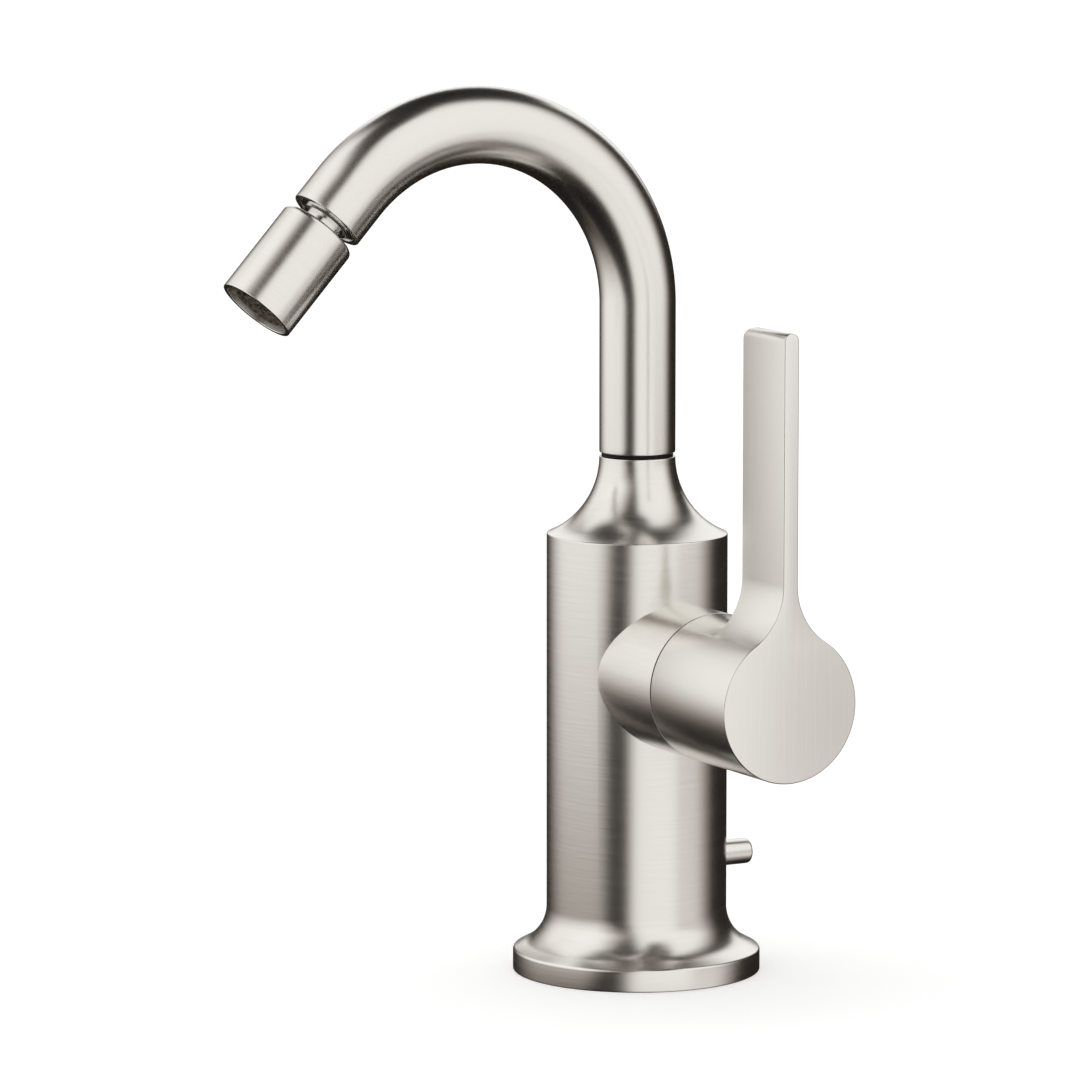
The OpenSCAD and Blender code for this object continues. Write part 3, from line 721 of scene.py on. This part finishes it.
def build_lever():
    """Hub and blade, with the socket of the spindle and the hole of the grub screw."""
    grub_low, grub_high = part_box("handle_grub_screw")
    grub_x = (grub_low.x + grub_high.x) / 2
    grub_r = (grub_high.x - grub_low.x) / 2 + FIT
    socket_x = lever_low.x + HUB_RECESS
    half = SOCKET_W / 2
    at_axis = Matrix.Translation((0, 0, barrel_z))
    at_grub = Matrix.Translation((grub_x, 0, barrel_z))
    lever = make("lever_hub_and_blade", lever_mesh(), at_axis)
    socket = box_mesh((socket_x - OVER, -half, -half), (socket_x + SOCKET_LEN, half, half))
    combine(lever, [make("socket", socket, at_axis)], "DIFFERENCE")
    combine(lever, [bore("grub_bore", [(-barrel_r - OVER, grub_r)], 0, at_grub)], "DIFFERENCE")
    paint_lever(lever)
    finish_piece(lever, "lever", "lever_handle", "satin_nickel", "blade", "barrel")


# Spout

def spout_stations():
    """Stations along the spout as (centre, outward direction, forward direction)."""
    up = Vector((0, 0, 1))
    back = Vector((0, 1, 0))
    bend_z = tube_high.z - BEND_R - tube_r
    middle = Vector((0, -BEND_R, bend_z))
    stations = [(Vector((0, 0, tube_low.z)), back, up)]
    for i in range(BEND_STEPS + 1):
        angle = BEND_ANGLE * i / BEND_STEPS
        out = Vector((0, math.cos(angle), math.sin(angle)))
        forward = Vector((0, -math.sin(angle), math.cos(angle)))
        stations.append((middle + out * BEND_R, out, forward))
    centre, out, forward = stations[-1]
    stations.append((centre + forward * TAIL_LEN, out, forward))
    return stations


def end_rings(station, outward):
    """Radii and shifts over the softened end of the tube, from its outside to its bore."""
    bore_r = tube_r - TUBE_WALL
    outline = [(tube_r, -TUBE_WALL), (tube_r, 0), (bore_r, 0), (bore_r, -TUBE_WALL)]
    outline = soften_all(outline, {1: TUBE_EDGE_R, 2: TUBE_EDGE_R})
    centre, out, forward = station
    return [(centre + forward * shift * outward, out, radius) for radius, shift in outline]


def spout_mesh():
    """The bent tube, outside and bore."""
    side = Vector((1, 0, 0))
    bore_r = tube_r - TUBE_WALL
    stations = spout_stations()
    rings = list(reversed(end_rings(stations[0], -1)))
    rings += [(centre, out, tube_r) for centre, out, forward in stations[1:-1]]
    rings += end_rings(stations[-1], 1)
    rings += [(centre, out, bore_r) for centre, out, forward in reversed(stations[1:-1])]
    bm = bmesh.new()
    made = []
    for centre, out, radius in rings:
        ring = []
        for i in range(HALF_SIDES):
            turn = 2 * math.pi * i / HALF_SIDES
            ring.append(bm.verts.new(centre + radius * (math.cos(turn) * out + math.sin(turn) * side)))
        made.append(ring)
    for first, second in zip(made, made[1:] + made[:1]):
        join_rings(bm, first, second, MAIN)
    return bm


def build_spout():
    """The bent tube as one piece."""
    spout = make("spout", spout_mesh())
    finish_piece(spout, "spout", "spout_tube", "satin_nickel", "satin_nickel")


# Outlet

def nipple_outline():
    """Shank with its ring groove, grooved collar, neck, ball and bore."""
    shank_r = tube_r - TUBE_WALL - FIT
    shank_s = TUBE_END_S - NIPPLE_RECESS - NIPPLE_GRIP
    lip_s = TUBE_END_S - NIPPLE_RECESS
    ring_s = lip_s - NIPPLE_GRIP / 2
    groove_r = shank_r - NIPPLE_RING_D
    neck_angle = -math.acos(BALL_NECK_R / BALL_R)
    bore_angle = math.acos(BALL_BORE_R / BALL_R)
    outline = [
        (BALL_BORE_R, shank_s),
        (shank_r, shank_s),
        (shank_r, ring_s - NIPPLE_GROOVE_W / 2),
        (groove_r, ring_s - NIPPLE_GROOVE_W / 2),
        (groove_r, ring_s + NIPPLE_GROOVE_W / 2),
        (shank_r, ring_s + NIPPLE_GROOVE_W / 2),
        (shank_r, lip_s),
        (COLLAR_R, lip_s),
        (COLLAR_R, COLLAR_END_S - 2 * COLLAR_GROOVE),
        (COLLAR_R - COLLAR_GROOVE, COLLAR_END_S - COLLAR_GROOVE),
        (COLLAR_R - COLLAR_GROOVE, COLLAR_END_S),
        (BALL_NECK_R, COLLAR_END_S),
    ]
    return outline + arc((0, 0), BALL_R, neck_angle, bore_angle, BALL_STEPS)


def sleeve_outline():
    """Sleeve with a rounded upper rim, a thin lower rim and the socket inside."""
    bore_r = SLEEVE_R - SLEEVE_WALL
    rim_r = SLEEVE_R - SLEEVE_RIM_R
    socket_angle = math.acos(SLEEVE_MOUTH_R / SOCKET_R)
    outline = [(SLEEVE_MOUTH_R, SLEEVE_TOP_S)]
    rim_s = SLEEVE_TOP_S + SLEEVE_RIM_R
    outline += arc((rim_r, rim_s), SLEEVE_RIM_R, -math.pi / 2, 0, SLEEVE_RIM_STEPS)
    lower = len(outline)
    outline += [(SLEEVE_R, SLEEVE_END_S), (bore_r, SLEEVE_END_S), (bore_r, 0)]
    outline += arc((0, 0), SOCKET_R, 0, -socket_angle, SOCKET_STEPS)
    return soften_all(outline, {0: SLEEVE_EDGE_R, lower: SLEEVE_EDGE_R, lower + 1: SLEEVE_EDGE_R})


def build_outlet():
    """The ball nipple in the end of the spout, and the sleeve that turns on it."""
    place = outlet_place()
    nipple = make("ball_nipple", lathe(nipple_outline(), closed=True), place)
    finish_piece(nipple, "spout", "outlet_ball_nipple", "bright_nickel", "bright_nickel")
    sleeve = make("sleeve", lathe(sleeve_outline(), closed=True), place)
    finish_piece(sleeve, "outlet", "aerator_sleeve", "satin_nickel", "turned")


# Lift knob

def build_knob():
    """The pin at the back, with its spigot in the lift rod."""
    spigot_r = knob_r / 2
    shoulder_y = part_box("lift_rod")[1].y + FIT
    outline = [
        (0, knob_low.y),
        (spigot_r, knob_low.y),
        (spigot_r, shoulder_y),
        (knob_r, shoulder_y),
        (knob_r, knob_high.y),
        (0, knob_high.y),
    ]
    outline = soften_all(outline, {3: TURNED_EDGE_R, 4: KNOB_EDGE_R})
    knob = make("knob", lathe(outline, HALF_SIDES), along_y(0, 0, knob_z))
    finish_piece(knob, "lift", "lift_knob", "satin_nickel", "turned")


# Carried-over CAD nodes

def dress_nodes():
    """Gives each CAD node the finish of its slot, or its own."""
    for part in frame["record"]["subparts"]:
        node = frame["nodes"][part["node"]]
        finish = NODE_FINISHES.get(part["node"], part["material_slot"])
        node.data.materials.clear()
        node.data.materials.append(materials[finish])


# Studio

CAMERA_AZIMUTH = math.radians(60.977)
CAMERA_DISTANCE = 1.3675
CAMERA_HEIGHT = 0.2855
CAMERA_HEADING = math.radians(61.876)
CAMERA_TILT = math.radians(7.883)
CAMERA_LENS = 208.3
CAMERA_SENSOR = 36
CAMERA_CLIP = 50
FLOOR_R = 8
DISC_SIDES = 128
FLOOR_COLOUR = (0.95, 0.95, 0.95, 1)
FLOOR_LIFT = 0.2
WHITE = (1, 1, 1, 1)
FILL = 0.93
LAMP_POWER = 1.2
LAMP_SIZE = 1.2
LAMP_PLACE = Vector((-0.9, -1.4, 1.9))
TENT_R = 5
TENT_SIDES = 96
CLOTH_GLOW = 0.012
WARMTH = {"Red": 0.93, "Green": 1, "Blue": 1.06}

# Windows of the dark tent around the object. Azimuth runs from -Y towards +X, and angles are in degrees.
# An edge is (start, end, lean): a soft step from start to end, which leans with the other angle.
WINDOWS = (
    {
        "left": (-99, -46, 0.65),
        "right": (6, 45, 0),
        "low": (-38, -24, -1),
        "high": (20, 42, 0.07),
        "level": 0.93,
    },
    {
        "left": (-60, -52, 0.61),
        "right": (34, 85, 0.75),
        "low": (17, 41, 0.13),
        "high": (57, 70, 0.05),
        "level": 0.96,
    },
    {
        "left": (46, 63, -0.14),
        "right": (139, 177, -0.22),
        "low": (11, 36, 0.92),
        "high": (56, 62, -0.14),
        "level": 0.92,
    },
    {
        "left": (-150, -143, 0.34),
        "right": (-109, -105, -0.38),
        "low": (-1, 5, 0.04),
        "high": (77, 100, -0.24),
        "level": 1,
    },
)
WINDOW_DIM = {"start": -60, "end": 45, "low": 0.93}

# Curved cards close around the object. Left and right edges are azimuths, foot and top heights in metres.
# Each edge is a soft step from start to end, and the cover is how much of the light behind a card it takes.
CARDS = (
    {
        "name": "card_left",
        "reach": 0.34,
        "left": (-94, -93),
        "right": (36, 52),
        "foot": (-0.9, -0.8),
        "top": (-0.139, 0.111),
        "cover": 0.91,
    },
    {
        "name": "card_right",
        "reach": 0.345,
        "left": (36, 52),
        "right": (178, 179),
        "foot": (-0.9, -0.8),
        "top": (-0.278, -0.073),
        "cover": 0.65,
    },
    {
        "name": "card_lever",
        "reach": 0.335,
        "left": (104, 119),
        "right": (157, 173),
        "foot": (-0.2, 0.01),
        "top": (0.058, 0.14),
        "cover": 0.3,
    },
)

# Round flag above the object, dark up to the start of its edge and clear from the end on
FLAG_PLACE = Vector((-0.083, 0.015, 0.318))
FLAG_EDGE = (0.088, 0.139)


def add_camera():
    """The camera of the photograph's view."""
    camera = bpy.data.objects.new("camera", bpy.data.cameras.new("camera"))
    camera.location = (
        math.sin(CAMERA_AZIMUTH) * CAMERA_DISTANCE,
        -math.cos(CAMERA_AZIMUTH) * CAMERA_DISTANCE,
        CAMERA_HEIGHT,
    )
    camera.rotation_euler = (math.pi / 2 - CAMERA_TILT, 0, CAMERA_HEADING)
    camera.data.lens = CAMERA_LENS
    camera.data.sensor_width = CAMERA_SENSOR
    camera.data.clip_end = CAMERA_CLIP
    scene.collection.objects.link(camera)
    scene.camera = camera


def math_node(tree, operation, first, second=0):
    """A sum, product, power or angle of sockets or numbers."""
    node = tree.nodes.new("ShaderNodeMath")
    node.operation = operation
    for i, value in enumerate((first, second)):
        if isinstance(value, (int, float)):
            node.inputs[i].default_value = value
        else:
            tree.links.new(value, node.inputs[i])
    return node.outputs[0]


def soft_step(tree, source, edge, low, high):
    """A soft step from one level to another, from the start of an edge to its end."""
    step = tree.nodes.new("ShaderNodeMapRange")
    step.interpolation_type = "SMOOTHSTEP"
    step.inputs["From Min"].default_value = edge[0]
    step.inputs["From Max"].default_value = edge[1]
    step.inputs["To Min"].default_value = low
    step.inputs["To Max"].default_value = high
    tree.links.new(source, step.inputs["Value"])
    return step.outputs["Result"]


def product(tree, factors):
    """Multiplies several sockets."""
    result = factors[0]
    for factor in factors[1:]:
        result = math_node(tree, "MULTIPLY", result, factor)
    return result


def leaning(tree, angle, other, edge):
    """An angle that is moved along with the other one, by the lean of an edge."""
    return math_node(tree, "ADD", angle, math_node(tree, "MULTIPLY", other, edge[2]))


def window_light(tree, azimuth, elevation, window):
    """The light that comes in through one window of the tent."""
    factors = []
    for name, low, high in (("left", 0, 1), ("right", 1, 0)):
        edge = window[name]
        factors.append(soft_step(tree, leaning(tree, azimuth, elevation, edge), edge, low, high))
    for name, low, high in (("low", 0, 1), ("high", 1, 0)):
        edge = window[name]
        factors.append(soft_step(tree, leaning(tree, elevation, azimuth, edge), edge, low, high))
    return math_node(tree, "MULTIPLY", product(tree, factors), window["level"])


def stage_material(name):
    """An empty material with its node tree, its surface socket and the place on the piece."""
    material = bpy.data.materials.new(name)
    material.use_nodes = True
    tree = material.node_tree
    tree.nodes.clear()
    axes = tree.nodes.new("ShaderNodeSeparateXYZ")
    tree.links.new(tree.nodes.new("ShaderNodeTexCoord").outputs["Object"], axes.inputs[0])
    surface = tree.nodes.new("ShaderNodeOutputMaterial").inputs["Surface"]
    return material, tree, surface, axes.outputs


def azimuth_of(tree, axes):
    """Azimuth from -Y towards +X, in degrees."""
    front = math_node(tree, "MULTIPLY", axes["Y"], -1)
    return math_node(tree, "DEGREES", math_node(tree, "ARCTAN2", axes["X"], front))


def warm_light(tree, level):
    """A level of light as a colour, which is a little warmer where the light is dim."""
    colour = tree.nodes.new("ShaderNodeCombineColor")
    for channel, power in WARMTH.items():
        tree.links.new(math_node(tree, "POWER", level, power), colour.inputs[channel])
    return colour.outputs["Color"]


def tent_material():
    """Black cloth with soft-edged windows to the white surroundings."""
    material, tree, surface, axes = stage_material("tent_cloth")
    azimuth = azimuth_of(tree, axes)
    height = math_node(tree, "DIVIDE", axes["Z"], TENT_R)
    elevation = math_node(tree, "DEGREES", math_node(tree, "ARCSINE", height))
    light = 0
    for window in WINDOWS:
        light = math_node(tree, "ADD", window_light(tree, azimuth, elevation, window), light)
    dim = soft_step(tree, elevation, (WINDOW_DIM["start"], WINDOW_DIM["end"]), WINDOW_DIM["low"], 1)
    light = math_node(tree, "MULTIPLY", light, dim)
    light = math_node(tree, "MINIMUM", math_node(tree, "ADD", light, CLOTH_GLOW), 1)
    glow = tree.nodes.new("ShaderNodeEmission")
    tree.links.new(warm_light(tree, light), glow.inputs["Color"])
    tree.links.new(glow.outputs[0], surface)
    return material


def cover_up(tree, surface, cover):
    """Cloth that takes a part of the light behind it."""
    clear = tree.nodes.new("ShaderNodeBsdfTransparent")
    tree.links.new(warm_light(tree, math_node(tree, "SUBTRACT", 1, cover)), clear.inputs["Color"])
    glow = tree.nodes.new("ShaderNodeEmission")
    tree.links.new(math_node(tree, "MULTIPLY", cover, CLOTH_GLOW), glow.inputs["Strength"])
    both = tree.nodes.new("ShaderNodeAddShader")
    tree.links.new(clear.outputs[0], both.inputs[0])
    tree.links.new(glow.outputs[0], both.inputs[1])
    tree.links.new(both.outputs[0], surface)


def card_material(card):
    """Cloth that fades out towards the edges of a card."""
    material, tree, surface, axes = stage_material(card["name"])
    azimuth = azimuth_of(tree, axes)
    factors = [
        soft_step(tree, azimuth, card["left"], 0, 1),
        soft_step(tree, azimuth, card["right"], 1, 0),
        soft_step(tree, axes["Z"], card["foot"], 0, 1),
        soft_step(tree, axes["Z"], card["top"], 1, 0),
    ]
    cover_up(tree, surface, math_node(tree, "MULTIPLY", product(tree, factors), card["cover"]))
    return material


def flag_material():
    """Cloth that fades out towards the rim of the flag."""
    material, tree, surface, axes = stage_material("flag_cloth")
    squares = [math_node(tree, "MULTIPLY", axes[name], axes[name]) for name in ("X", "Y")]
    reach = math_node(tree, "SQRT", math_node(tree, "ADD", *squares))
    cover_up(tree, surface, soft_step(tree, reach, FLAG_EDGE, 1, 0))
    return material


def for_reflections(obj, material):
    """Leaves a stage object to reflections alone."""
    obj.data.materials.append(material)
    obj.visible_camera = False
    obj.visible_diffuse = False
    obj.visible_shadow = False
    obj.visible_transmission = False


def add_tent():
    """A dark tent around the object, so that the metal shows bright windows and dark bands."""
    bm = bmesh.new()
    bmesh.ops.create_uvsphere(bm, u_segments=TENT_SIDES, v_segments=TENT_SIDES // 2, radius=TENT_R)
    for_reflections(make("tent", bm), tent_material())


def add_card(card):
    """A curved card around the object."""
    bm = bmesh.new()
    start = card["left"][0]
    end = card["right"][1]
    rings = []
    for height in (card["foot"][0], card["top"][1]):
        ring = []
        for i in range(SIDES + 1):
            turn = math.radians(start + (end - start) * i / SIDES)
            place = (card["reach"] * math.sin(turn), -card["reach"] * math.cos(turn), height)
            ring.append(bm.verts.new(place))
        rings.append(ring)
    low, high = rings
    for i in range(SIDES):
        bm.faces.new((low[i], low[i + 1], high[i + 1], high[i]))
    for_reflections(make(card["name"], bm), card_material(card))


def add_flag():
    """A dark round flag over the object, which darkens the top of the spout."""
    bm = bmesh.new()
    bmesh.ops.create_circle(bm, cap_ends=True, segments=DISC_SIDES, radius=FLAG_EDGE[1])
    for_reflections(make("flag", bm, Matrix.Translation(FLAG_PLACE)), flag_material())


def floor_material():
    """Pale floor that keeps the shadow and is lifted to white for the camera."""
    material, tree, shader = new_material("floor_paper")
    shader.inputs["Base Color"].default_value = FLOOR_COLOUR
    shader.inputs["Roughness"].default_value = 1
    shader.inputs["Specular IOR Level"].default_value = 0
    shader.inputs["Emission Color"].default_value = WHITE
    path = tree.nodes.new("ShaderNodeLightPath")
    lift = math_node(tree, "MULTIPLY", path.outputs["Is Camera Ray"], FLOOR_LIFT)
    tree.links.new(lift, shader.inputs["Emission Strength"])
    return material


def add_floor():
    """A wide round floor in the plane of the deck."""
    bm = bmesh.new()
    bmesh.ops.create_circle(bm, cap_ends=True, segments=DISC_SIDES, radius=FLOOR_R)
    floor = make("floor", bm)
    floor.data.materials.append(floor_material())
    floor.visible_glossy = False


def add_lamp():
    """One large soft lamp above the front, turned to the object."""
    lamp = bpy.data.objects.new("soft_lamp", bpy.data.lights.new("soft_lamp", "AREA"))
    lamp.data.energy = LAMP_POWER
    lamp.data.size = LAMP_SIZE
    lamp.location = LAMP_PLACE
    lamp.rotation_euler = LAMP_PLACE.to_track_quat("Z", "Y").to_euler()
    lamp.visible_glossy = False
    scene.collection.objects.link(lamp)


def set_world():
    """White for the camera and for reflections, and a plain fill for the rest."""
    world = bpy.data.worlds.new("studio")
    world.use_nodes = True
    tree = world.node_tree
    background = tree.nodes["Background"]
    background.inputs["Color"].default_value = WHITE
    path = tree.nodes.new("ShaderNodeLightPath")
    seen = math_node(tree, "MAXIMUM", path.outputs["Is Camera Ray"], path.outputs["Is Glossy Ray"])
    seen = math_node(tree, "MAXIMUM", seen, path.outputs["Is Transmission Ray"])
    lift = math_node(tree, "MULTIPLY", seen, 1 - FILL)
    tree.links.new(math_node(tree, "ADD", lift, FILL), background.inputs["Strength"])
    scene.world = world


add_camera()
dress_nodes()
build_body()
build_lever()
build_spout()
build_outlet()
build_knob()
add_tent()
for card in CARDS:
    add_card(card)
add_flag()
add_floor()
add_lamp()
set_world()
scene.view_settings.view_transform = "Standard"
